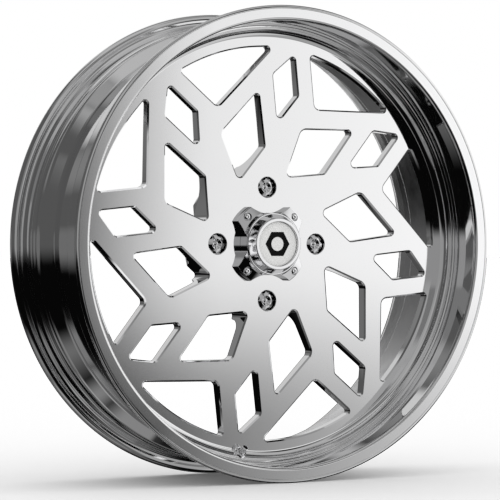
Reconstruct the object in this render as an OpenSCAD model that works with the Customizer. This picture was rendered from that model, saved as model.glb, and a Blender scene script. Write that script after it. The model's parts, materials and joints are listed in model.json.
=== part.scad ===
// Forged two-piece wheel rim: a flat forged centre with twenty-four windows,
// welded into a forged barrel, with its hub cap, lug nuts and inflation valve.
//
// Every module is drawn in the wheel's own frame first: X right, Y up and Z along
// the axle towards the outer side. The hub's mounting face is at Z = 0, which is
// also the middle of the barrel's width. place() then turns Z onto -Y.

/* [Barrel] */
// Diameter over the two flanges
flange_d = 649; // [645:1:660]
// Width over the two flanges
rim_w = 204; // [190:1:240]
// Diameter of the bead seats where they meet the flanges
seat_d = 614.4; // [612:0.2:618]
// Diameter of the drop centre
well_d = 580; // [572:1:586]
// Thickness of the barrel wall
wall_t = 7; // [5:0.5:9]
// Inside diameter of the front lip
lip_d = 604; // [598:1:606]

/* [Centre] */
// Distance from the mounting face to the front face
face_z = 39; // [34:1:44]
// Thickness of the spokes at their outer ends
spoke_t = 12.5; // [10:0.5:16]
// Diameter of the mounting pad on the back
pad_d = 220; // [190:1:240]
// Diameter of the pilot bore that fits the hub
pilot_d = 132; // [126:0.5:134]
// Depth of the pilot bore
pilot_depth = 12; // [8:1:16]
// Diameter of the bore behind the cap
front_bore_d = 84; // [82:1:88]
// Number of window groups round the wheel
groups = 8; // [8]

/* [Lugs] */
// Diameter of the lug circle
lug_pcd = 156; // [150:1:160]
// Number of lugs
lugs = 4; // [4]
// Diameter of the stud holes
stud_hole_d = 14; // [13:0.5:15]
// Diameter of the lug pockets in the face
pocket_d = 28.2; // [26:0.1:30]
// Diameter of the lug nuts
nut_d = 25.4; // [24:0.1:26]

/* [Cap] */
// Diameter over the four lobes
lobes_d = 119; // [116:1:123]
// Diameter of the cap's neck
neck_d = 85.5; // [84:0.5:88]
// Diameter of the pull-off lid at its foot
lid_d = 82; // [79:0.5:83]
// Height of the lid's top above the face
lid_h = 31.5; // [29:0.5:36]
// Diameter of the circle of cap screws
screw_pcd = 105; // [100:1:108]

/* [Valve] */
// Position of the valve round the wheel, anticlockwise from the right
valve_angle = 261.4; // [250:0.1:268]
// Distance of the valve from the axle at the front surface
valve_r = 290.5; // [289:0.5:292]
// Lean of the valve towards the axle
valve_tilt = 38; // [34:1:42]
// Diameter of the valve hole
valve_hole_d = 11.3; // [11:0.1:12]
// Length of stem in front of the centre
stem_out = 12.5; // [11:0.5:16]

/* [Hidden] */
$fn = 96;
cut = 0.5;                                // how far a cutter runs past a face
gap = 0.15;                               // space between pieces that move apart

// Barrel stations, as radii and as distances along the axle
flange_r = flange_d / 2;
seat_r = seat_d / 2;
well_r = well_d / 2;
lip_r = lip_d / 2;
end_z = rim_w / 2;
flange_t = 13;                            // width of a flange
seat_z = end_z - flange_t;                // inner wall of a flange
seat_len = 20;                            // length of a bead seat
seat_drop = seat_len * tan(5);            // fall of the 5 degree seat
hump_h = 1.6;                             // height of the safety hump
shoulder_r = seat_r - 2.2;                // barrel between hump and drop centre
core_r = well_r - wall_t;                 // barrel bore behind the centre
rear_bore_r = shoulder_r - wall_t;        // barrel bore at the rear shoulder
stop_z = face_z - 3;                      // shoulder that the centre sits on
front_slope_z = [face_z - 3, face_z - 17]; // front side of the drop centre
rear_slope_z = [-32, -50];                // rear side of the drop centre

// Centre stations
back_z = face_z - spoke_t;                // back of the outer ring
cove_r = [284.5, 294];                    // start and end of the cove
cove_h = 8.5;                             // rise of the cove above the face
cove_rad = (pow(cove_r[1] - cove_r[0], 2) + pow(cove_h, 2)) / (2 * cove_h);
cove_end = asin((cove_r[1] - cove_r[0]) / cove_rad);
land_z = face_z + cove_h;                 // land between cove and lip
arc_r = 273.7;                            // outer side of the outer windows
root_rad = 18;                            // fillet between pad and spokes
pad_r = pad_d / 2;
weld = 4;                                 // leg of the weld beads

// Window corners as [distance from axle, angle, corner radius]
kite = [[170, 26.5, 11], [216.5, 3.2, 4.5], [133.7, 0.6, 6.5], [93.6, 29, 6]];
gem = [[235.5, 43.3, 7], [270.5, 35.25, 4.5], [211, 30.7, 5], [162.3, 39.8, 5.5]];
fan = [[199, 23, 9], [arc_r, 31, 4.5], [arc_r, -3.1, 4.5]];
inset = 2.7;                              // window walls inside the corner lines
corner_steps = 5;
arc_steps = 12;

// Lug pockets and nuts
pocket_floor = 15;                        // height of the floor of a pocket
cone_r = 13;                              // widest radius of the conical seat
stud_r = stud_hole_d / 2;
cone_h = (cone_r - stud_r) / tan(30);     // 60 degree seat
thread_r = 6;                             // M12 stud
nut_top = face_z - 2;

// Cap heights above the face
lobe_edge_h = 9;                          // tip of a lobe
lobe_bevel = 0.6;                         // bevel round the tips
neck_h = 18.9;                            // top of the neck
scallop_r = 51.8;                         // hollow between two lobes
scallop_pos = 92.5;
cap_bore_r = 30;
spigot_depth = 14;                        // part of the cap inside the bore
badge_r = 30.4;
badge_t = 2;
recess = 3.5;                             // depth of the badge below the rim
head_floor = 8;                           // counterbore floor of a cap screw
screw_r = 3;                              // M6
lid_plug = 12;                            // depth of the lid in the cap

// Valve stations along its own axis, from the front surface
valve_sink = 0.4;                         // spot face below the cove
seat_depth = 12.6;                        // seat on the tyre side
stem_r = 3.85;                            // 8V1 thread
core_bore_r = 2.6;
core_top = stem_out - 1;
core_z = core_top - 8;                    // inner end of the core's housing
spring_floor = core_z - 11;               // bottom of the core's bore
pin_r = 0.8;
valve_cap_r = 5;

// ---- helpers ---------------------------------------------------------------

// Wheel frame to part frame: the axle's outer end points along -Y.
module place() { rotate([90, 0, 0]) children(); }

// A ring-shaped or round solid from its section in [radius, height].
module lathe(section) { rotate_extrude($fn = 180) polygon(section); }

// Points of an arc, both ends included.
function arc(centre, r, a0, a1, n = 6) =
    [for (i = [0 : n]) centre + r * [cos(a0 + (a1 - a0) * i / n), sin(a0 + (a1 - a0) * i / n)]];

function polar(p) = p[0] * [cos(p[1]), sin(p[1])];
function unit(v) = v / norm(v);
function wrap(a) = a > 180 ? a - 360 : a < -180 ? a + 360 : a;

// Distance from a corner to where its arc of radius r begins.
function setback(corner, before, after, r) =
    let (u = unit(before - corner), w = unit(after - corner)) r / tan(acos(u * w) / 2);

// Arc that rounds one corner, moved inwards by the inset.
function fillet(corner, before, after, r, n = corner_steps) =
    let (u = unit(before - corner), w = unit(after - corner), half = acos(u * w) / 2,
         c = corner + unit(u + w) * r / sin(half),
         s = corner + u * r / tan(half) - c, e = corner + w * r / tan(half) - c,
         a0 = atan2(s[1], s[0]), turn = wrap(atan2(e[1], e[0]) - a0))
    arc(c, r - inset, a0, a0 + turn, n);

// Closed outline with rounded corners from [distance, angle, radius] corners.
function outline(corners) =
    let (n = len(corners))
    [for (i = [0 : n - 1]) each fillet(polar(corners[i]), polar(corners[(i + n - 1) % n]),
                                       polar(corners[(i + 1) % n]), corners[i][2])];

// Outline of an outer window: two straight sides and one side concentric with the wheel.
function fan_outline(corners) =
    let (v = polar(corners[0]), a = polar(corners[1]), b = polar(corners[2]),
         ta = a + 40 * [sin(corners[1][1]), -cos(corners[1][1])],
         tb = b - 40 * [sin(corners[2][1]), -cos(corners[2][1])],
         skip_a = setback(a, v, ta, corners[1][2]) / arc_r * 180 / PI,
         skip_b = setback(b, v, tb, corners[2][2]) / arc_r * 180 / PI)
    concat(fillet(v, b, a, corners[0][2]),
           fillet(a, v, ta, corners[1][2]),
           arc([0, 0], arc_r - inset, corners[1][1] - skip_a - 2, corners[2][1] + skip_b + 2, arc_steps),
           fillet(b, tb, v, corners[2][2]));

module ring_of(count, first = 0) {
    for (i = [0 : count - 1]) rotate([0, 0, first + i * 360 / count]) children();
}

// Moves from the wheel frame into the valve's frame: Z runs out along the stem.
module at_valve() {
    rotate([0, 0, valve_angle]) translate([valve_r, 0, valve_face_z()]) rotate([0, -valve_tilt, 0])
        children();
}
function valve_face_z() =
    face_z + cove_rad - sqrt(pow(cove_rad, 2) - pow(valve_r - cove_r[0], 2)) - valve_sink;

// ---- barrel and centre -----------------------------------------------------

module rim_barrel() color("silver") place() difference() {
    lathe(concat(
        // front lip, from its inner wall round to the bead seat
        [[lip_r, stop_z], [lip_r, end_z - 22], [lip_r + 1.5, end_z - 6]],
        arc([lip_r + 5.5, end_z - 4], 4, 180, 90),
        arc([flange_r - 3, end_z - 3], 3, 90, 0),
        arc([flange_r - 8, seat_z + 8], 8, 0, -90),
        arc([seat_r + 6.5, seat_z - 6.5], 6.5, 90, 180, 8),
        [[seat_r - seat_drop, seat_z - seat_len]],
        arc([seat_r - seat_drop - 1, seat_z - seat_len - 3], 1 + hump_h, 60, -60),
        [[shoulder_r + 0.6, seat_z - seat_len - 7], [shoulder_r, seat_z - seat_len - 10]],
        // drop centre
        arc([shoulder_r - 4, front_slope_z[0] + 1], 4, 0, -40, 4),
        arc([well_r + 4, front_slope_z[1] - 1], 4, 140, 180, 4),
        arc([well_r + 6, rear_slope_z[0]], 6, 180, 235, 5),
        arc([shoulder_r - 6, rear_slope_z[1]], 6, 55, 0, 5),
        // rear bead seat and flange
        [[shoulder_r, -seat_z + seat_len + 10], [shoulder_r + 0.6, -seat_z + seat_len + 7]],
        arc([seat_r - seat_drop - 1, -seat_z + seat_len + 3], 1 + hump_h, 60, -60),
        [[seat_r - seat_drop, -seat_z + seat_len]],
        arc([seat_r + 6.5, -seat_z + 6.5], 6.5, 180, 270, 8),
        arc([flange_r - 8, -seat_z - 8], 8, 90, 0),
        arc([flange_r - 3, -end_z + 3], 3, 0, -90),
        arc([lip_r + 8, -end_z + 5], 5, -90, -180),
        // bore, from the rear back to the shoulder under the centre
        [[rear_bore_r + 3, -seat_z + 4], [rear_bore_r, rear_slope_z[1] - 18]],
        arc([rear_bore_r - 6, rear_slope_z[1] + 2], 6, 0, 50, 5),
        arc([core_r + 6, rear_slope_z[0] + 2], 6, 230, 180, 5),
        [[core_r, stop_z]]));
    at_valve() {
        translate([0, 0, -60]) cylinder(d = valve_hole_d, h = 80);
        translate([0, 0, -50]) cylinder(r = 9, h = 50 - seat_depth);
    }
}

module center_disc() color("gainsboro") place() difference() {
    lathe(concat(
        [[front_bore_d / 2, pilot_depth], [front_bore_d / 2, face_z - 1],
         [front_bore_d / 2 + 1, face_z]],
        arc([cove_r[0], face_z + cove_rad], cove_rad, -90, -90 + cove_end, 8),
        [[cove_r[1] + 1.5, land_z - 1.2], [cove_r[1] + 3, land_z], [lip_r, land_z],
         [lip_r, stop_z], [core_r, stop_z], [core_r, back_z], [core_r - 12, back_z],
         [170, back_z - 2.2]],
        arc([pad_r + root_rad, 4], root_rad, 90, 180, 8),
        [[pad_r - 2, 0], [pilot_d / 2, 0], [pilot_d / 2, pilot_depth]]));
    ring_of(groups) translate([0, 0, -cut]) linear_extrude(face_z + cove_h + 2 * cut) {
        polygon(outline(kite));
        polygon(outline(gem));
        polygon(fan_outline(fan));
    }
    ring_of(lugs) translate([lug_pcd / 2, 0, 0]) {
        translate([0, 0, -cut]) cylinder(r = stud_r, h = face_z);
        translate([0, 0, pocket_floor - cone_h]) cylinder(r1 = stud_r, r2 = cone_r, h = cone_h);
        translate([0, 0, pocket_floor]) cylinder(d = pocket_d, h = face_z);
    }
    ring_of(4, 45) translate([screw_pcd / 2, 0, face_z - 20]) cylinder(r = screw_r, h = 20 + cut);
    at_valve() {
        translate([0, 0, -40]) cylinder(d = valve_hole_d, h = 60);
        cylinder(r = 8.6, h = 20);
    }
}

// Seal weld between the centre's land and the inside of the lip.
module front_weld() color("lightgray") place()
    lathe(concat([[lip_r, land_z]], arc([lip_r, land_z], 3, 90, 180, 6)));

// Structural fillet weld behind the centre.
module rear_weld() color("lightgray") place()
    lathe([[core_r, back_z], [core_r, back_z - weld - 1], [core_r - 2, back_z - 3.2],
           [core_r - 3.2, back_z - 2], [core_r - weld - 1, back_z]]);

// ---- hub cap ---------------------------------------------------------------

module cap_base() color("silver") place() difference() {
    union() {
        intersection() {
            lathe([[cap_bore_r, face_z], [lobes_d / 2, face_z],
                   [lobes_d / 2, face_z + lobe_edge_h - lobe_bevel],
                   [lobes_d / 2 - lobe_bevel, face_z + lobe_edge_h],
                   [neck_d / 2 + 2.7, face_z + neck_h - 5.4],
                   [neck_d / 2 + 0.4, face_z + neck_h - 1], [neck_d / 2 - 0.6, face_z + neck_h],
                   [cap_bore_r, face_z + neck_h]]);
            union() {
                difference() {
                    translate([0, 0, face_z - cut]) cylinder(d = lobes_d + 2, h = neck_h + 2 * cut);
                    ring_of(4) translate([scallop_pos, 0, face_z - 2 * cut])
                        cylinder(r = scallop_r, h = neck_h + 4 * cut);
                }
                translate([0, 0, face_z - 2 * cut]) cylinder(d = neck_d, h = neck_h + 4 * cut);
            }
        }
        translate([0, 0, face_z - spigot_depth])
            cylinder(d = front_bore_d - 0.2, h = spigot_depth + cut);
    }
    translate([0, 0, face_z - spigot_depth - cut])
        cylinder(r = cap_bore_r, h = spigot_depth + neck_h + 2 * cut);
    // groove for the O-ring
    lathe([[front_bore_d / 2 - 2.8, face_z - 8.6], [front_bore_d / 2 + 1, face_z - 8.6],
           [front_bore_d / 2 + 1, face_z - 5.4], [front_bore_d / 2 - 2.8, face_z - 5.4]]);
    ring_of(4, 45) translate([screw_pcd / 2, 0, 0]) {
        translate([0, 0, face_z - cut]) cylinder(r = screw_r + 0.2, h = neck_h);
        translate([0, 0, face_z + head_floor]) cylinder(r = 5.8, h = neck_h);
    }
}

module cap_o_ring() color("#202020") place()
    rotate_extrude($fn = 96) translate([front_bore_d / 2 - 1.42, face_z - 7])
        circle(r = 1.37, $fn = 24);

module cap_lid() color("silver") place() difference() {
    lathe([[0, face_z + neck_h + 4], [25, face_z + neck_h + 4], [25, face_z + neck_h - lid_plug],
           [cap_bore_r - 0.1 - 0.8, face_z + neck_h - lid_plug],
           [cap_bore_r - 0.1, face_z + neck_h - lid_plug + 0.8],
           [cap_bore_r - 0.1, face_z + neck_h + gap], [lid_d / 2, face_z + neck_h + gap],
           [lid_d / 2, face_z + neck_h + 0.9], [lid_d / 2 - 5.2, face_z + lid_h - 1.2],
           [lid_d / 2 - 6.2, face_z + lid_h],
           [badge_r + 0.2, face_z + lid_h], [badge_r + 0.2, badge_z()], [0, badge_z()]]);
    // groove for the friction ring
    lathe([[27.6, face_z + 8.4], [cap_bore_r + 1, face_z + 8.4],
           [cap_bore_r + 1, face_z + 11.2], [27.6, face_z + 11.2]]);
}
function badge_z() = face_z + lid_h - recess - badge_t;

module lid_o_ring() color("#202020") place()
    rotate_extrude($fn = 96) translate([28.78, face_z + 9.8]) circle(r = 1.16, $fn = 24);

module cap_badge() color("whitesmoke") place() translate([0, 0, badge_z()]) difference() {
    cylinder(r = badge_r, h = badge_t);
    translate([0, 0, badge_t - 0.6]) mark();
}

// Plain mark: a hexagon round a six-armed star hole.
module mark() linear_extrude(0.6 + cut) difference() {
    circle(r = 19, $fn = 6);
    circle(r = 9.5);
}

module badge_mark() color("#151515") place() intersection() {
    translate([0, 0, badge_z() + badge_t - 0.6]) mark();
    translate([0, 0, badge_z()]) cylinder(r = badge_r, h = badge_t);
}

module cap_screw(i) color("silver") place()
    rotate([0, 0, 45 + 90 * (i - 1)]) translate([screw_pcd / 2, 0, 0]) difference() {
        union() {
            translate([0, 0, face_z - 16]) cylinder(r = screw_r - 0.1, h = 16 + head_floor + cut);
            translate([0, 0, face_z + head_floor])
                lathe([[0, 0], [5.2, 0], [5.2, 0.9], [4.6, 2.2], [3.4, 3.1], [0, 3.3]]);
        }
        translate([0, 0, face_z + head_floor + 1.2]) cylinder(r = 2.3, h = 4, $fn = 6);
    }

// ---- lug nuts --------------------------------------------------------------

module lug_nut(i) color("silver") place()
    rotate([0, 0, 90 * (i - 1)]) translate([lug_pcd / 2, 0, 0]) difference() {
        lathe([[thread_r, seat_at(8.2)], [8.2, seat_at(8.2)],
               [nut_d / 2 - 0.3, seat_at(nut_d / 2 - 0.3)], [nut_d / 2, seat_at(nut_d / 2) + 1],
               [nut_d / 2, nut_top - 4.5],
               [nut_d / 2 - 1, nut_top - 2.6], [6.4, nut_top], [5.2, nut_top],
               [0, nut_top - 3], [0, nut_top - 6], [thread_r, nut_top - 9]]);
        ring_of(6, 15) translate([nut_d / 2 + 0.6, 0, pocket_floor + 3])
            cylinder(r = 2.7, h = 40, $fn = 32);
    }

// Height of the nut's cone at radius r, just clear of the seat.
function seat_at(r) = pocket_floor - (cone_r - r) / tan(30) + 2 * gap;

// ---- inflation valve -------------------------------------------------------

module valve_stem() color("silver") place() at_valve() difference() {
    lathe([[1.4, -seat_depth - 5], [7.4, -seat_depth - 5], [7.4, -seat_depth - 3],
           [4, -seat_depth - 3], [4, 0], [stem_r, 0.4], [stem_r, stem_out - 0.6],
           [stem_r - 0.6, stem_out], [1.4, stem_out]]);
    translate([0, 0, spring_floor]) cylinder(r = core_bore_r, h = stem_out - spring_floor + cut);
}

// Rubber grommet: a flange under the stem's head and a sleeve in the hole.
module valve_grommet() color("#202020") place() at_valve()
    lathe([[4, -seat_depth - 3], [8, -seat_depth - 3], [8, -seat_depth],
           [5.5, -seat_depth], [5.5, -2], [4, -2]]);

module valve_washer() color("silver") place() at_valve()
    lathe([[4.1, 0], [8, 0], [8, 0.8], [7.6, 1.2], [4.1, 1.2]]);

module valve_nut() color("silver") place() at_valve() translate([0, 0, 1.2]) difference() {
    intersection() {
        cylinder(r = 7.5, h = 5, $fn = 6);
        lathe([[0, 0], [7.5, 0], [7.5, 4], [6.3, 5], [0, 5]]);
    }
    translate([0, 0, -cut]) cylinder(r = 4.05, h = 6);
}

module core_housing() color("gold") place() at_valve()
    lathe([[pin_r + 0.1, core_z], [core_bore_r - 0.1, core_z], [core_bore_r - 0.1, core_z + 1.6],
           [2.1, core_z + 1.8], [2.1, core_z + 3.6], [core_bore_r - 0.02, core_z + 3.8],
           [core_bore_r - 0.02, core_top], [pin_r + 0.1, core_top]]);

// Central pin with its sealing disc at the inner end.
module core_pin() color("gold") place() at_valve()
    lathe([[0, core_z - 3.4], [2.1, core_z - 3.4], [2.1, core_z - 2.6], [pin_r, core_z - 2.6],
           [pin_r, core_top + 0.4], [0, core_top + 0.7]]);

module core_seal() color("#202020") place() at_valve()
    lathe([[pin_r, core_z - 2.6], [2.2, core_z - 2.6], [2.2, core_z - 0.6],
           [1.3, core_z - gap / 2], [pin_r, core_z - gap / 2]]);

// Compression spring between the bottom of the bore and the pin's disc.
module core_spring() color("silver") place() at_valve()
    spring(1.6, 0.2, spring_floor + 0.25, 7.1, 6);

// Closed round-wire helix: radius, wire radius, start height, length, turns.
module spring(r, wire, z0, len, turns, seg = 14, side = 6) {
    n = turns * seg;
    pts = [for (i = [0 : n]) for (j = [0 : side - 1])
        let (a = i * 360 / seg, b = j * 360 / side, rr = r + wire * cos(b))
        [rr * cos(a), rr * sin(a), z0 + len * i / n + wire * sin(b)]];
    sides = [for (i = [0 : n - 1]) for (j = [0 : side - 1])
        let (k = (j + 1) % side)
        [i * side + j, (i + 1) * side + j, (i + 1) * side + k, i * side + k]];
    polyhedron(pts, concat([[for (j = [0 : side - 1]) j]], sides,
                           [[for (j = [side - 1 : -1 : 0]) n * side + j]]));
}

module valve_cap() color("silver") place() at_valve() difference() {
    lathe([[0, stem_out + 1.4], [2.8, stem_out + 1.4], [2.8, stem_out + 0.2],
           [stem_r + 0.1, stem_out + 0.2], [stem_r + 0.1, 6.8], [valve_cap_r, 6.8],
           [valve_cap_r, stem_out + 2.2], [valve_cap_r - 1, stem_out + 3.2],
           [0, stem_out + 3.2]]);
    ring_of(18) translate([valve_cap_r + 0.25, 0, 7.8]) cylinder(r = 0.5, h = stem_out - 7, $fn = 16);
}

module valve_cap_seal() color("#202020") place() at_valve()
    lathe([[1.2, stem_out + gap], [2.6, stem_out + gap], [2.6, stem_out + 1.2],
           [1.2, stem_out + 1.2]]);

center_disc();
rim_barrel();
front_weld();
rear_weld();
cap_base();
cap_o_ring();
cap_lid();
lid_o_ring();
cap_badge();
badge_mark();
cap_screw(1);  // cap_screw_1
cap_screw(2);  // cap_screw_2
cap_screw(3);  // cap_screw_3
cap_screw(4);  // cap_screw_4
lug_nut(1);  // lug_nut_1
lug_nut(2);  // lug_nut_2
lug_nut(3);  // lug_nut_3
lug_nut(4);  // lug_nut_4
valve_stem();
valve_grommet();
valve_washer();
valve_nut();
core_housing();
core_pin();
core_spring();
core_seal();
valve_cap();
valve_cap_seal();
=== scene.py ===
# Forged wheel rim: detailed meshes, materials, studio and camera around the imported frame.
import json
import math

import bpy
import bmesh
from mathutils import Matrix, Vector

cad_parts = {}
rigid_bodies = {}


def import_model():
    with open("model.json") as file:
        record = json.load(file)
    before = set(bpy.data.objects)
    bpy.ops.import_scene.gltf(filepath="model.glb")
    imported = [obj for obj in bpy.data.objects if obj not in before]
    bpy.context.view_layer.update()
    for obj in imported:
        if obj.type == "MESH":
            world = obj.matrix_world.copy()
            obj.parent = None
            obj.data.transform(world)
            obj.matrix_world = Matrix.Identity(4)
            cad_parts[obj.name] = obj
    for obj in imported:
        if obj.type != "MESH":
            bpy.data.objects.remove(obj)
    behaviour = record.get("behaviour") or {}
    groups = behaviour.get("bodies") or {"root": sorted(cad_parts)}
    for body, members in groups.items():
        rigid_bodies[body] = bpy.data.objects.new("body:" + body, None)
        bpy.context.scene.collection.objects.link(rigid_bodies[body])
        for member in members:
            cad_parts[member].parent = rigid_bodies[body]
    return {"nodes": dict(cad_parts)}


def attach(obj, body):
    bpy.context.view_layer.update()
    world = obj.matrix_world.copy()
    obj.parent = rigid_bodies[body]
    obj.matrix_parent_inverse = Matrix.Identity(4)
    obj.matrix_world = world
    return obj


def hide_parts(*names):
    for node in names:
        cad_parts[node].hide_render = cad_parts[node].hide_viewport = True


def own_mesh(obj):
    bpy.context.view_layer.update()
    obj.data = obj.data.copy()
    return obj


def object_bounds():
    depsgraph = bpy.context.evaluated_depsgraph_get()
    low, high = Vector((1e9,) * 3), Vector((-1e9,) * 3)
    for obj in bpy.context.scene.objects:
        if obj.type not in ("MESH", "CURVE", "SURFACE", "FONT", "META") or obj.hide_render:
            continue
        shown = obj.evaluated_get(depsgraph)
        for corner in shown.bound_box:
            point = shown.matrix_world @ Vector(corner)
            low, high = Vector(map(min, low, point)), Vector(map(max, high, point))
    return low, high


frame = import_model()
CAD_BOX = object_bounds()
scene = bpy.context.scene
TAU = 2 * math.pi


def rad(a):
    return a * math.pi / 180


# ---- camera ------------------------------------------------------------------------
# The view is almost level, 30 degrees round to the left of the axle.
# Lengths in metres, angles in degrees (azimuth 0 is in front of the wheel, + to the right).
VIEW_CENTRE = (0, -0.039, 0)
VIEW_AZ, VIEW_EL, VIEW_DIST = -30.263, -0.028, 3.926
TURN, TILT, ROLL = 0.344, 0.122, 0.09   # of the optical axis, off the line to VIEW_CENTRE
LENS = 205.4


def direction(az, el):
    return Vector((math.sin(az) * math.cos(el), -math.cos(az) * math.cos(el), math.sin(el)))


def make_camera():
    az, el, roll = rad(VIEW_AZ), rad(VIEW_EL), rad(ROLL)
    eye = Vector(VIEW_CENTRE) + VIEW_DIST * direction(az, el)
    az += rad(TURN)
    el += rad(TILT)
    back = direction(az, el)
    side = Vector((math.cos(az), math.sin(az), 0))
    up = back.cross(side)
    right = math.cos(roll) * side + math.sin(roll) * up
    up = back.cross(right)
    m = Matrix((right, up, back)).transposed().to_4x4()
    m.translation = eye
    data = bpy.data.cameras.new("view")
    data.sensor_width = 36
    data.lens = LENS
    data.clip_end = 100
    cam = bpy.data.objects.new("view", data)
    scene.collection.objects.link(cam)
    cam.matrix_world = m
    scene.camera = cam


make_camera()

# ---- mesh tools --------------------------------------------------------------------
# Wheel frame: x right, y up, z out along the axle, in millimetres.

def place(p):
    """A wheel-frame point in the scene, in metres."""
    return Vector((p[0], -p[2], p[1])) / 1000


def mesh_object(name, points, faces):
    """A new mesh object from wheel-frame points, with its faces turned outward."""
    me = bpy.data.meshes.new(name)
    me.from_pydata([place(p) for p in points], [], faces)
    me.validate()
    ob = bpy.data.objects.new(name, me)
    scene.collection.objects.link(ob)
    bm = bmesh.new()
    bm.from_mesh(me)
    bmesh.ops.remove_doubles(bm, verts=bm.verts, dist=1e-7)
    bmesh.ops.recalc_face_normals(bm, faces=bm.faces)
    bm.to_mesh(me)
    bm.free()
    return ob


HOLD = 0.12         # distance of the extra points from the ends of a long segment
HOLD_SHARE = 0.06   # a segment gets them if HOLD is a smaller share of it than this


def held(section):
    """Adds a point close to each end of every long segment of a closed section."""
    out = []
    for (r0, z0), (r1, z1) in zip(section, section[1:] + section[:1]):
        out.append((r0, z0))
        t = HOLD / max(1e-6, math.hypot(r1 - r0, z1 - z0))
        if t < HOLD_SHARE:
            out += [(r0 + (r1 - r0) * t, z0 + (z1 - z0) * t),
                    (r1 - (r1 - r0) * t, z1 - (z1 - z0) * t)]
    return out


def lathe(name, section, segs=360, at=None):
    """Revolves a closed section of (radius, height) points; at maps a point of the axis frame.

    Long segments get a ring close to each end, which keeps flat faces flat under smooth shading.
    """
    section = held(section)
    pts, faces, ring = [], [], []
    for r, z in section:
        if r < 1e-6:
            ring.append([len(pts)] * segs)
            pts.append((0, 0, z))
        else:
            ring.append([len(pts) + k for k in range(segs)])
            pts += [(r * math.cos(TAU * k / segs), r * math.sin(TAU * k / segs), z)
                    for k in range(segs)]
    n = len(section)
    for i in range(n):
        a, b = ring[i], ring[(i + 1) % n]
        for k in range(segs):
            q = (k + 1) % segs
            f = [a[k], a[q], b[q], b[k]]
            f = [v for j, v in enumerate(f) if v != f[j - 1]]
            if len(f) > 2:
                faces.append(f)
    if at:
        pts = [at(p) for p in pts]
    return mesh_object(name, pts, faces)


def ring_solid(name, section_at, segs, at=None):
    """A closed ring whose section of (radius, height) points may change round the axis."""
    pts, n = [], len(section_at(0))
    for k in range(segs):
        a = TAU * k / segs
        pts += [(r * math.cos(a), r * math.sin(a), z) for r, z in section_at(a)]
    if at:
        pts = [at(p) for p in pts]
    faces = [[k * n + i, k * n + (i + 1) % n, (k + 1) % segs * n + (i + 1) % n,
              (k + 1) % segs * n + i] for k in range(segs) for i in range(n)]
    return mesh_object(name, pts, faces)


def stack(name, rings, at=None):
    """A closed solid from rings of equal length, each a list of points, capped at both ends."""
    n = len(rings[0])
    pts = [p for ring in rings for p in ring]
    if at:
        pts = [at(p) for p in pts]
    faces = [[i * n + k, i * n + (k + 1) % n, (i + 1) * n + (k + 1) % n, (i + 1) * n + k]
             for i in range(len(rings) - 1) for k in range(n)]
    faces += [list(range(n)), list(range((len(rings) - 1) * n, len(rings) * n))]
    return mesh_object(name, pts, faces)


def hexagon(name, r, z0, z1, at=None):
    """A hexagonal prism; r is the radius to its corners."""
    def level(z):
        return [(r * math.cos(rad(60 * k)), r * math.sin(rad(60 * k)), z) for k in range(6)]
    return stack(name, [level(z0), level(z1)], at)


def arc(cx, cy, r, a0, a1, n):
    """n + 1 points of a circle, between two angles in degrees."""
    return [(cx + r * math.cos(rad(a0 + (a1 - a0) * i / n)),
             cy + r * math.sin(rad(a0 + (a1 - a0) * i / n))) for i in range(n + 1)]


def shift(dx, turn=0):
    """A map that moves a point by dx and then turns it round the axle."""
    c, s = math.cos(rad(turn)), math.sin(rad(turn))
    return lambda p: (c * (p[0] + dx) - s * p[1], s * (p[0] + dx) + c * p[1], p[2])


def combine(ob, cutters, how="DIFFERENCE"):
    """Cuts or intersects ob with the cutters and removes them."""
    col = bpy.data.collections.new("cutters")
    scene.collection.children.link(col)
    for c in cutters:
        scene.collection.objects.unlink(c)
        col.objects.link(c)
    mod = ob.modifiers.new("cut", "BOOLEAN")
    mod.operation, mod.solver = how, "MANIFOLD"
    mod.operand_type, mod.collection = "COLLECTION", col
    bpy.context.view_layer.update()
    graph = bpy.context.evaluated_depsgraph_get()
    done = bpy.data.meshes.new_from_object(ob.evaluated_get(graph))
    ob.modifiers.clear()
    old, ob.data = ob.data, done
    bpy.data.meshes.remove(old)
    for c in list(col.objects):
        bpy.data.objects.remove(c)
    bpy.data.collections.remove(col)
    return ob


def crisp(ob, angle=28):
    """Smooth shading that keeps edges sharper than the angle."""
    ob.data.polygons.foreach_set("use_smooth", [True] * len(ob.data.polygons))
    ob.data.set_sharp_from_angle(angle=rad(angle))
    return ob


# ---- materials ---------------------------------------------------------------------
RING_SCALE = 400
RELIEF_DEPTH = 0.0001


def material(name, color, metallic=1.0, roughness=0.05, **more):
    m = bpy.data.materials.new(name)
    m.use_nodes = True
    b = m.node_tree.nodes["Principled BSDF"]
    b.inputs["Base Color"].default_value = (*color, 1)
    b.inputs["Metallic"].default_value = metallic
    b.inputs["Roughness"].default_value = roughness
    for k, v in more.items():
        b.inputs[k.replace("_", " ")].default_value = v
    return m


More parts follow.
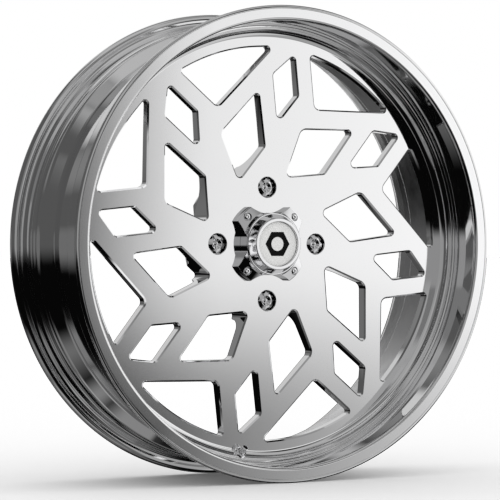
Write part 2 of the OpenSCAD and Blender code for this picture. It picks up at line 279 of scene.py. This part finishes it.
def surface(m, wear, wear_scale, relief=0.0, relief_scale=900, rings=0.0):
    """Uneven roughness between two values, a fine random relief and fine turning lines."""
    t = m.node_tree
    b = t.nodes["Principled BSDF"]
    coord = t.nodes.new("ShaderNodeTexCoord")

    def noise(scale, detail):
        n = t.nodes.new("ShaderNodeTexNoise")
        n.inputs["Scale"].default_value = scale
        n.inputs["Detail"].default_value = detail
        t.links.new(coord.outputs["Object"], n.inputs["Vector"])
        return n.outputs[0]

    def turning():
        n = t.nodes.new("ShaderNodeTexWave")
        n.wave_type, n.rings_direction = "RINGS", "Y"
        n.inputs["Scale"].default_value = RING_SCALE
        n.inputs["Distortion"].default_value = 0.6
        n.inputs["Detail"].default_value = 2
        t.links.new(coord.outputs["Object"], n.inputs["Vector"])
        return n.outputs["Fac"]

    def bump(height, amount, normal):
        n = t.nodes.new("ShaderNodeBump")
        n.inputs["Strength"].default_value = amount
        n.inputs["Distance"].default_value = RELIEF_DEPTH
        t.links.new(height, n.inputs["Height"])
        if normal:
            t.links.new(normal, n.inputs["Normal"])
        return n.outputs["Normal"]

    spread = t.nodes.new("ShaderNodeMapRange")
    spread.inputs["From Min"].default_value = 0.3
    spread.inputs["From Max"].default_value = 0.7
    spread.inputs["To Min"].default_value = wear[0]
    spread.inputs["To Max"].default_value = wear[1]
    t.links.new(noise(wear_scale, 5), spread.inputs["Value"])
    t.links.new(spread.outputs["Result"], b.inputs["Roughness"])
    normal = None
    if relief:
        normal = bump(noise(relief_scale, 3), relief, normal)
    if rings:
        normal = bump(turning(), rings, normal)
    if normal:
        t.links.new(normal, b.inputs["Normal"])
    return m


MIRROR = surface(material("polished_aluminium", (0.93, 0.93, 0.935)), (0.018, 0.05), 26,
                 relief=0.012, relief_scale=700, rings=0.008)
BARREL = surface(material("polished_barrel", (0.93, 0.93, 0.935)), (0.03, 0.07), 22,
                 relief=0.015, relief_scale=600)
BORE = surface(material("satin_bore", (0.9, 0.9, 0.905)), (0.3, 0.42), 40,
               relief=0.05, relief_scale=500)
CHROME = surface(material("chrome", (0.92, 0.92, 0.93)), (0.015, 0.045), 60, relief=0.01)
WELD = surface(material("weld_metal", (0.78, 0.78, 0.79)), (0.16, 0.34), 220, relief=0.5)
BRASS = surface(material("brass", (0.8, 0.6, 0.28)), (0.12, 0.24), 400, relief=0.06)
SPRING = surface(material("spring_steel", (0.7, 0.7, 0.7)), (0.12, 0.25), 500, relief=0.05)
RUBBER = surface(material("black_rubber", (0.018, 0.018, 0.018), metallic=0), (0.45, 0.7), 300,
                 relief=0.3)
WHITE = surface(material("white_enamel", (0.86, 0.86, 0.85), metallic=0,
                         Coat_Weight=0.6, Coat_Roughness=0.05), (0.16, 0.26), 80,
                relief=0.03, relief_scale=400)
BLACK = surface(material("black_enamel", (0.006, 0.006, 0.006), metallic=0,
                         Specular_IOR_Level=0.08), (0.3, 0.45), 80,
                relief=0.03, relief_scale=400)

# ---- dimensions --------------------------------------------------------------------
# Millimetres; heights are measured outward along the axle from the mounting face.
FACE, BACK = 39, 26.5               # the spokes' front and back
LIP, CORE = 302, 283                # inner radii of the front lip and behind the centre
STOP, LAND = 36, 47.5               # shoulder that the centre rests on, top of its step ring
COVE_AT, COVE_RUN, COVE_RISE = 284.5, 9.5, 8.5  # shallow cove from the face to the step ring
COVE_R = (COVE_RUN ** 2 + COVE_RISE ** 2) / (2 * COVE_RISE)
COVE_END = math.degrees(math.asin(COVE_RUN / COVE_R))
NUT_CIRCLE, SCREW_CIRCLE = 78, 52.5  # radii

# window outlines: corners as (radius, angle in degrees, rounding)
KITE = [(170, 26.5, 11), (216.5, 3.2, 4.5), (133.7, 0.6, 6.5), (93.6, 29, 6)]
GEM = [(235.5, 43.3, 7), (270.5, 35.25, 4.5), (211, 30.7, 5), (162.3, 39.8, 5.5)]
FAN_R = 273.7                       # radius of the outer windows' outer side
FAN = [(199, 23, 9), (FAN_R, 31, 4.5), (FAN_R, -3.1, 4.5)]
ROUNDER = 2.4                       # added to each rounding
INSET = 2.7                         # from the outline in to the windows' straight walls
FLARE = 3                           # height and width of the cutters' 45 degree flare

VALVE_AT, VALVE_CLOCK, VALVE_LEAN = 290.5, 261.4, 38    # radius, place round the wheel, lean
SPOT_DEPTH = 0.4                    # of the flat under the valve's washer, into the cove
VALVE_Z = FACE + COVE_R - math.sqrt(COVE_R ** 2 - (VALVE_AT - COVE_AT) ** 2) - SPOT_DEPTH
VALVE_HOLE, SPOT_R = 5.65, 8.6

CAP_BORE, SPIGOT = 30, 41.9         # radii of the cap base's bore and its spigot
NECK_R, LOBE_TOP, CAP_TOP = 42.75, 48, 57.9
SCALLOP_R, SCALLOP_AT = 51.8, 92.5  # the hollows between the lobes
LOBE_BEVEL, LOBE_SINK = 0.6, 0.15   # soft edge along the scallops


def valve_at(p):
    """Maps a point of the valve's own frame, whose axis leans inward to the axle."""
    c, s = math.cos(rad(VALVE_LEAN)), math.sin(rad(VALVE_LEAN))
    x, z = p[0] * c - p[2] * s, p[0] * s + p[2] * c
    return shift(0, turn=VALVE_CLOCK)((x + VALVE_AT, p[1], z + VALVE_Z))


# ---- windows -----------------------------------------------------------------------

def polar(p):
    return Vector((p[0] * math.cos(rad(p[1])), p[0] * math.sin(rad(p[1]))))


def unit(deg):
    return Vector((math.cos(rad(deg)), math.sin(rad(deg))))


def corner(c, before, after, r, steps=12):
    """Points and outward normals of the arc that rounds one corner of an outline."""
    r += ROUNDER
    u, w = (before - c).normalized(), (after - c).normalized()
    half = math.acos(max(-1, min(1, u.dot(w)))) / 2
    mid = c + (u + w).normalized() * (r / math.sin(half))
    s, e = c + u * (r / math.tan(half)) - mid, c + w * (r / math.tan(half)) - mid
    a0 = math.atan2(s.y, s.x)
    turn = (math.atan2(e.y, e.x) - a0 + math.pi) % TAU - math.pi
    out = []
    for i in range(steps + 1):
        n = Vector((math.cos(a0 + turn * i / steps), math.sin(a0 + turn * i / steps)))
        out.append((mid + n * r, n))
    return out


def window(corners):
    """Outline of a window with straight sides."""
    p = [polar(c) for c in corners]
    n = len(p)
    return [q for i in range(n) for q in corner(p[i], p[i - 1], p[(i + 1) % n], corners[i][2])]


def outer_window(corners, arc_r):
    """Outline of a window whose outer side, from its second to its third corner, is an arc."""
    v, a, b = (polar(c) for c in corners)
    round_v, round_a, round_b = (c[2] for c in corners)
    deg_a, deg_b = corners[1][1], corners[2][1]
    tangent = 40    # length of the lines that stand in for the arc at its corners
    ta = a + tangent * Vector((math.sin(rad(deg_a)), -math.cos(rad(deg_a))))
    tb = b - tangent * Vector((math.sin(rad(deg_b)), -math.cos(rad(deg_b))))

    def skip(c, other, along, r):
        """Degrees of the arc that the rounding of a corner takes."""
        half = math.acos((other - c).normalized().dot((along - c).normalized())) / 2
        return (r + ROUNDER) / math.tan(half) / arc_r * 180 / math.pi

    a0 = deg_a - skip(a, v, ta, round_a) - 2
    a1 = deg_b + skip(b, tb, v, round_b) + 2
    side = [(unit(t) * arc_r, unit(t)) for t in (a0 + (a1 - a0) * i / 40 for i in range(41))]
    return (corner(v, b, a, round_v) + corner(a, v, ta, round_a) + side
            + corner(b, tb, v, round_b))


def cutter(outline, turn):
    """A straight cutter through the wheel, inside the outline, that flares at the face."""
    def level(d, z):
        return [(*(p + n * d), z) for p, n in outline]

    return stack("window", [level(-INSET, -1), level(-INSET, FACE - 2),
                            level(FLARE - INSET, FACE - 2 + FLARE)], shift(0, turn=turn))


# ---- pieces ------------------------------------------------------------------------
# Sections are lists of (radius, height).

def make_disc():
    pad = [(42, 12), (42, FACE - 1), (43, FACE)]
    cove = arc(COVE_AT, FACE + COVE_R, COVE_R, -90, -90 + COVE_END, 26)
    step_ring = ([(294.9, 46.7), (295.5, 46.4), (296.1, 46.7)] + arc(297.6, 46.5, 1, 150, 90, 5)
                 + [(LIP, LAND), (LIP, STOP), (CORE, STOP), (CORE, BACK)])
    back = ([(CORE - 12, BACK), (170, BACK - 2.2)] + arc(128, 4, 18, 90, 180, 20)
            + [(108.7, 0.7), (108, 0), (67, 0), (66, 1), (66, 12)])
    ob = lathe("centre", pad + cove + step_ring + back, 720)
    cuts = []
    for k in range(8):
        cuts += [cutter(window(KITE), 45 * k), cutter(window(GEM), 45 * k),
                 cutter(outer_window(FAN, FAN_R), 45 * k)]
    for k in range(4):
        cuts.append(lathe("lug_hole", [(0, -1), (7, -1), (7, 4.6), (13, 15), (14.1, 15),
                                       (14.1, 38.3), (15.8, 40), (0, 40)], 96,
                          shift(NUT_CIRCLE, turn=90 * k)))
        cuts.append(lathe("screw_hole", [(0, 19), (3, 19), (3, 40), (0, 40)], 48,
                          shift(SCREW_CIRCLE, turn=45 + 90 * k)))
    cuts.append(lathe("valve_hole", [(0, -40), (VALVE_HOLE, -40), (VALVE_HOLE, 0), (SPOT_R, 0),
                                     (SPOT_R, 20), (0, 20)], 96, valve_at))
    return crisp(combine(ob, cuts))


def make_barrel():
    """One closed section, from the centre's shoulder out to the front and back on the inside."""
    seat = 305.0
    front_inside = [(LIP, STOP), (LIP, 80), (303.5, 96)] + arc(307.5, 98, 4, 180, 90, 8)
    front_flange = ([(319.4, 102), (319.8, 101.7), (320.2, 102)] + arc(321.5, 99, 3, 90, 0, 7)
                    + arc(316.5, 99, 8, 0, -90, 12) + arc(313.7, 84.5, 6.5, 90, 180, 11))
    front_seat = ([(305.45, 71)] + arc(304.45, 68, 2.6, 60, -60, 8)
                  + [(seat + 0.6, 64), (seat, 61)])
    drop_centre = (arc(seat - 4, 37, 4, 0, -40, 6) + arc(294, 21, 4, 140, 180, 6)
                   + arc(296, -32, 6, 180, 235, 7) + arc(seat - 6, -50, 6, 55, 0, 7))
    rear_seat = ([(seat, -61), (seat + 0.6, -64)] + arc(304.45, -68, 2.6, 60, -60, 8)
                 + [(305.45, -71)])
    rear_flange = (arc(313.7, -84.5, 6.5, 180, 270, 11) + arc(316.5, -99, 8, 90, 0, 12)
                   + arc(321.5, -99, 3, 0, -90, 7) + arc(310, -97, 5, -90, -180, 8))
    rear_inside = ([(301, -87), (298, -68)] + arc(292, -48, 6, 0, 50, 7)
                   + arc(289, -30, 6, 230, 180, 7) + [(CORE, STOP)])
    ob = lathe("barrel", front_inside + front_flange + front_seat + drop_centre + rear_seat
               + rear_flange + rear_inside, 432)
    hole = lathe("valve_hole", [(0, -50), (9, -50), (9, -12.6), (VALVE_HOLE, -12.6),
                                (VALVE_HOLE, 30), (0, 30)], 96, valve_at)
    return crisp(combine(ob, [hole]))


def make_cap_base():
    """Four lobes round a neck: the turned profile meets the scalloped outline in soft edges."""
    profile = [(59.5, FACE), (59.5, 47.3), (59.3, 47.8), (58.9, LOBE_TOP)]
    profile += [(58.9 - 13.45 * k / 28, LOBE_TOP + 4.5 * k / 28) for k in range(1, 29)]
    profile += [(45.45 - 2.3 * k / 8, 52.5 + 4.4 * k / 8) for k in range(1, 9)]
    profile += [(42.6, 57.6), (42.1, CAP_TOP)]
    inside = [(CAP_BORE, FACE - 14), (41.2, FACE - 14), (SPIGOT, FACE - 13.2),
              (SPIGOT, FACE - 8.6), (39.2, FACE - 8.6), (39.2, FACE - 5.4),
              (SPIGOT, FACE - 5.4), (SPIGOT, FACE)]

    def section(a):
        t = (math.degrees(a) + 45) % 90 - 45
        hidden = SCALLOP_R ** 2 - (SCALLOP_AT * math.sin(rad(t))) ** 2
        hollow = SCALLOP_AT * math.cos(rad(t)) - math.sqrt(hidden) if hidden > 0 else 1e3
        edge, out = max(NECK_R, hollow), []
        for p, z in profile:
            h = max(0, 1 - abs(p - edge) / LOBE_BEVEL)
            out.append((min(p, edge) - h * h * LOBE_SINK, z))
        return inside + out + [(30.5, CAP_TOP), (CAP_BORE, 57.4)]

    ob = ring_solid("cap", section, 720)
    cuts = [lathe("screw_seat", [(0, 38), (3.2, 38), (3.2, 47), (5.8, 47), (5.8, 60), (0, 60)],
                  64, shift(SCREW_CIRCLE, turn=45 + 90 * k)) for k in range(4)]
    return crisp(combine(ob, cuts), 24)


def make_lid():
    """Cover with a stepped plug below, a tapered side and a recess for the badge."""
    plug = [(0, 61.9), (25, 61.9), (25, 45.9), (29.1, 45.9), (29.9, 46.7), (29.9, 47.4),
            (27.6, 47.4), (27.6, 50.2), (29.9, 50.2), (29.9, 58.05)]
    side = [(40.7, 58.05), (41, 58.35), (41, 58.7), (40.8, 59.1), (36, 68.9)]
    rim = arc(34.5, 69.2, 1.3, 10, 90, 8) + arc(31.2, 69.9, 0.6, 90, 180, 6)
    return crisp(lathe("lid", plug + side + rim + [(30.6, 65), (0, 65)]))


def make_badge():
    section = [(0, 65), (30.4, 65)] + arc(30, 66.55, 0.4, 0, 90, 4) + [(0, 66.95)]
    return crisp(lathe("badge", section, 256))


def make_mark():
    """A plain hexagon ring in the badge."""
    hole = lathe("hole", [(0, 66), (9.5, 66), (9.5, 68), (0, 68)], 128)
    return crisp(combine(hexagon("mark", 19, 66.4, 67), [hole]))


def make_lug_nut(i):
    """Nut with a conical seat, six drive flutes and a dished tip."""
    top = FACE - 1.6
    at = shift(NUT_CIRCLE, turn=90 * (i - 1))

    def seat(r):
        """Height of the 60 degree seat at a radius, just clear of the pocket's cone."""
        return 15 - (13 - r) / math.tan(rad(30)) + 0.3

    side = [(6, seat(8.2)), (8.2, seat(8.2)), (12.6, seat(12.6)), (12.9, seat(12.7) + 1),
            (12.9, top - 4)] + arc(11.2, top - 3.5, 1.7, 0, 50, 5)
    tip = ([(7.6, top - 0.4)] + arc(7.2, top - 0.8, 0.4, 80, 180, 4)
           + [(3.2, top - 3), (0, top - 1.6), (0, top - 6), (6, top - 9)])
    ob = lathe("nut", side + tip, 192, at)
    cuts = []
    for k in range(6):
        g = shift(13.6, turn=15 + 60 * k)
        cuts.append(lathe("flute", [(0, 18), (3.1, 18), (3.1, top - 2.6), (4, top + 1),
                                    (0, top + 1)], 48, lambda p, g=g: at(g(p))))
    return crisp(combine(ob, cuts))


def make_screw(i):
    """Domed screw with a shallow hexagon socket."""
    at = shift(SCREW_CIRCLE, turn=45 + 90 * (i - 1))
    section = [(0, 23), (2.4, 23), (2.9, 23.6), (2.9, 47), (5, 47), (5.2, 47.2), (5.2, 47.9)]
    section += arc(3.6, 48.1, 1.6, 5, 60, 5) + [(3.4, 50), (0, 50.2)]
    ob = lathe("screw", section, 96, at)
    return crisp(combine(ob, [hexagon("socket", 2.3, 48.2, 51, at)]))


def make_valve():
    """Stem with turned thread crests, washer, chamfered hexagon nut and knurled cap."""
    thread, pitch, crests = [], 0.794, 14
    for k in range(crests):
        z = 0.8 + pitch * k
        thread += [(3.85, z), (3.85, z + 0.12), (3.5, z + 0.36), (3.5, z + 0.5)]
    foot = [(1.4, -17.6), (6.9, -17.6), (7.4, -17.1), (7.4, -15.6), (4, -15.6), (4, 0),
            (3.85, 0.4)]
    mouth = [(3.85, 12), (3.3, 12.5), (2.8, 12.5), (2.6, 12.3), (2.6, -7.5), (1.4, -7.5)]
    stem = lathe("stem", foot + thread + mouth, 96, valve_at)
    washer = lathe("washer", [(4.1, 0), (8, 0), (8, 0.7), (7.9, 0.95), (7.5, 1.2), (4.1, 1.2)],
                   128, valve_at)
    nut = hexagon("valve_nut_body", 7.5, 1.2, 6.2, valve_at)
    cone = lathe("crown", [(4.05, 1.2), (7.3, 1.2), (7.6, 1.5), (7.6, 5), (6.2, 6.2),
                           (4.4, 6.2), (4.05, 5.9)], 128, valve_at)
    combine(cone, [nut], "INTERSECT")

    def section(a):
        dip = max(0.0, math.cos(18 * a)) ** 3 * 0.3     # 18 knurls
        return [(0.001, 13.9), (2.8, 13.9), (2.8, 12.7), (3.95, 12.7), (3.95, 6.8), (4.7, 6.8),
                (5, 7.1), (5, 7.7), (5 - dip, 8.1), (5 - dip, 14.2), (5, 14.5), (4.95, 14.9),
                (4.6, 15.3), (4, 15.6), (3.4, 15.7), (0.001, 15.7)]

    cap = ring_solid("valve_cap_body", section, 216, valve_at)
    return crisp(stem), crisp(washer), crisp(cone), crisp(cap)


def make_spring():
    """Round wire whose end turns close up."""
    turns, per_turn, coil_r, wire_r = 6, 40, 1.6, 0.2
    rings, n = [], turns * per_turn
    for i in range(n + 1):
        t, a = i / n, turns * TAU * i / n
        z = -7.25 + 7.1 * (t - 0.12 * math.sin(TAU * t))
        ring = []
        for k in range(12):
            b = TAU * k / 12
            r = coil_r + wire_r * math.cos(b)
            ring.append((r * math.cos(a), r * math.sin(a), z + wire_r * math.sin(b)))
        rings.append(ring)
    return crisp(stack("spring", rings, valve_at), 60)


def make_front_weld():
    return crisp(lathe("bead", [(LIP, LAND)] + arc(LIP, LAND, 3, 90, 180, 10), 720))


def make_rear_weld():
    """Weld bead with overlapping ripples."""
    def section(a):
        k = 0.35 * abs(math.sin(a * 150)) + 0.12 * math.sin(a * 23)
        return [(CORE, BACK), (CORE, BACK - 5 - k), (CORE - 1.2, BACK - 4.2 - k),
                (CORE - 2, BACK - 3.2 - k), (CORE - 3.2, BACK - 2 - k * 0.8),
                (CORE - 4.2, BACK - 1.2 - k * 0.6), (CORE - 5 - k, BACK)]

    return crisp(ring_solid("rear", section, 2400), 60)


def put(ob, body, slot, mat, *nodes):
    """Gives a piece its material, its body and a name after its first CAD node, and hides those
    CAD nodes; the slot is not used.
    """
    ob.data.materials.clear()
    ob.data.materials.append(mat)
    ob.name = "vis_" + nodes[0]
    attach(ob, body)
    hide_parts(*nodes)
    return ob


put(make_disc(), "wheel", "polished_centre", MIRROR, "center_disc")
barrel = put(make_barrel(), "wheel", "polished_barrel", BARREL, "rim_barrel")
# behind the centre's shoulder, the faces that look at the axle are satin
barrel.data.materials.append(BORE)
for f in barrel.data.polygons:
    inward = f.normal.x * f.center.x + f.normal.z * f.center.z < 0
    f.material_index = int(inward and f.center.y > -STOP / 1000)
put(make_front_weld(), "wheel", "polished_barrel", MIRROR, "front_weld")
put(make_rear_weld(), "wheel", "weld_metal", WELD, "rear_weld")
put(make_cap_base(), "wheel", "cap_chrome", CHROME, "cap_base")
put(make_lid(), "cap_cover", "cap_chrome", CHROME, "cap_lid")
put(make_badge(), "cap_cover", "badge_white", WHITE, "cap_badge")
put(make_mark(), "cap_cover", "badge_black", BLACK, "badge_mark")
for i, body in enumerate(("nut_right", "nut_top", "nut_left", "nut_bottom"), 1):
    put(make_screw(i), "wheel", "fastener_chrome", CHROME, f"cap_screw_{i}")
    put(make_lug_nut(i), body, "fastener_chrome", CHROME, f"lug_nut_{i}")
for ob, body, n in zip(make_valve(), ("wheel", "wheel", "wheel", "valve_cap_shell"),
                       ("valve_stem", "valve_washer", "valve_nut", "valve_cap")):
    put(ob, body, "valve_chrome", CHROME, n)

spring = put(make_spring(), "wheel", "spring_steel", SPRING, "core_spring")
foot, tip = (place(valve_at((0, 0, z))) for z in (-7.5, 12.5))
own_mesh(spring)

# the CAD nodes that stay are rubber, except the valve core's metal
LOOK = {"core_housing": BRASS, "core_pin": BRASS}
for name, ob in frame["nodes"].items():
    if not ob.hide_render:
        ob.data.materials.clear()
        ob.data.materials.append(LOOK.get(name, RUBBER))

# ---- studio ------------------------------------------------------------------------
# What the polished metal mirrors is a dark room with soft panels of light, in the world.
DIM = 0.002
# level, azimuth from, to, elevation from, to, softness (azimuths as for the camera)
PANELS = [
    # right: the main light and its dimmer borders
    (1.0, 56, 140, -19, 30, 6),
    (0.82, 34, 64, -4, 27, 5),
    (0.58, 34, 62, -50, -2, 4),
    (0.34, 16, 40, -50, -4, 4),
    (0.88, 94, 146, 12, 42, 6),
    (0.66, 140, 190, 14, 48, 5),
    (0.85, 138, 178, -21, 10, 3),
    # overhead
    (0.46, -190, 190, 72, 95, 5),
    (0.48, -62, 34, 59, 80, 4),
    (0.42, -190, -142, 56, 80, 6),
    (0.28, -130, 190, 58, 80, 6),
    # front, high to low
    (0.44, 18, 62, 27, 60, 4),
    (0.25, -10, 24, 38, 62, 5),
    (0.40, -46, -6, 27, 50, 4),
    (0.30, -70, -30, 48, 62, 4),
    (0.37, -24, 26, 6, 32, 4),
    (0.29, -44, 26, -3, 13, 2),
    (0.19, -52, -20, 4, 32, 4),
    # left and behind
    (0.60, -190, -164, 22, 54, 4),
    (0.20, -166, -146, 12, 40, 5),
    (0.09, -170, -40, -4, 52, 4),
    (0.15, -170, -110, -5, 5, 3),
    (0.15, -125, -50, 48, 62, 4),
    # low, from the floor
    (0.31, -108, -36, -78, -52, 5),
    (0.20, -112, -46, -52, -34, 5),
    (0.11, -190, -110, -90, -30, 8),
    (0.13, -6, 18, -70, -34, 5),
    (0.24, -40, 5, -80, -61, 4),
    (0.14, -190, 190, -95, -76, 5),
]
FACE_ZONE = (23, 37, -7, 7, 1.5)    # what the flat face mirrors, as in PANELS without a level


def make_world():
    w = bpy.data.worlds.new("studio")
    scene.world = w
    w.use_nodes = True
    t = w.node_tree
    t.nodes.clear()

    def calc(op, *values):
        n = t.nodes.new("ShaderNodeMath")
        n.operation = op
        for i, v in enumerate(values):
            if isinstance(v, (int, float)):
                n.inputs[i].default_value = v
            else:
                t.links.new(v, n.inputs[i])
        return n.outputs[0]

    def step(x, lo, hi):
        n = t.nodes.new("ShaderNodeMapRange")
        n.interpolation_type = "SMOOTHSTEP"
        t.links.new(x, n.inputs["Value"])
        n.inputs["From Min"].default_value, n.inputs["From Max"].default_value = lo, hi
        return n.outputs["Result"]

    def band(v, lo, hi, soft):
        return calc("MULTIPLY", step(v, lo - soft, lo + soft),
                    calc("SUBTRACT", 1, step(v, hi - soft, hi + soft)))

    def panel(az0, az1, el0, el1, soft):
        return calc("MULTIPLY", band(az, az0, az1, soft), band(el, el0, el1, soft))

    def white():
        n = t.nodes.new("ShaderNodeBackground")
        n.inputs["Color"].default_value = (1, 1, 1, 1)
        return n

    coord = t.nodes.new("ShaderNodeTexCoord")
    sep = t.nodes.new("ShaderNodeSeparateXYZ")
    t.links.new(coord.outputs["Generated"], sep.inputs[0])
    x, y, z = sep.outputs
    az = calc("MULTIPLY", calc("ARCTAN2", x, calc("MULTIPLY", y, -1)), 180 / math.pi)
    el = calc("MULTIPLY", calc("ARCSINE", z), 180 / math.pi)

    total = None
    for level, *p in PANELS:
        one = calc("MULTIPLY", panel(*p), level)
        total = one if total is None else calc("MAXIMUM", total, one)
    total = calc("MAXIMUM", total, DIM)
    # the soft lower left corner of the light that the flat face mirrors
    edge = calc("MULTIPLY_ADD", step(az, 28, 36), 0.17,
                calc("MULTIPLY", step(az, 25.2, 29.4), 0.85))
    low = calc("MULTIPLY_ADD", az, 0.078, -2.03)
    edge = calc("MULTIPLY", edge, calc("MULTIPLY_ADD", step(el, -3.9, -0.1),
                                       calc("SUBTRACT", 1, low), low))
    zone = panel(*FACE_ZONE)
    total = calc("ADD", calc("MULTIPLY", total, calc("SUBTRACT", 1, zone)),
                 calc("MULTIPLY", edge, zone))
    # the camera and diffuse surfaces see plain white, and reflections see the panels
    studio, plain = white(), white()
    t.links.new(total, studio.inputs["Strength"])
    mix = t.nodes.new("ShaderNodeMixShader")
    path = t.nodes.new("ShaderNodeLightPath")
    out = t.nodes.new("ShaderNodeOutputWorld")
    t.links.new(calc("MAXIMUM", path.outputs["Is Camera Ray"], path.outputs["Is Diffuse Ray"]),
                mix.inputs[0])
    t.links.new(studio.outputs[0], mix.inputs[1])
    t.links.new(plain.outputs[0], mix.inputs[2])
    t.links.new(mix.outputs[0], out.inputs[0])


def make_floor():
    """A plain floor under the wheel that shows only its shadow."""
    me = bpy.data.meshes.new("floor")
    z, far = CAD_BOX[0][2], 60
    me.from_pydata([(-far, -far, z), (far, -far, z), (far, far, z), (-far, far, z)], [],
                   [[0, 1, 2, 3]])
    ob = bpy.data.objects.new("floor", me)
    scene.collection.objects.link(ob)
    me.materials.append(material("floor", (0.9, 0.9, 0.9), metallic=0, roughness=1))
    ob.visible_glossy = False
    ob.is_shadow_catcher = True


make_world()
make_floor()
scene.view_settings.view_transform = "Standard"
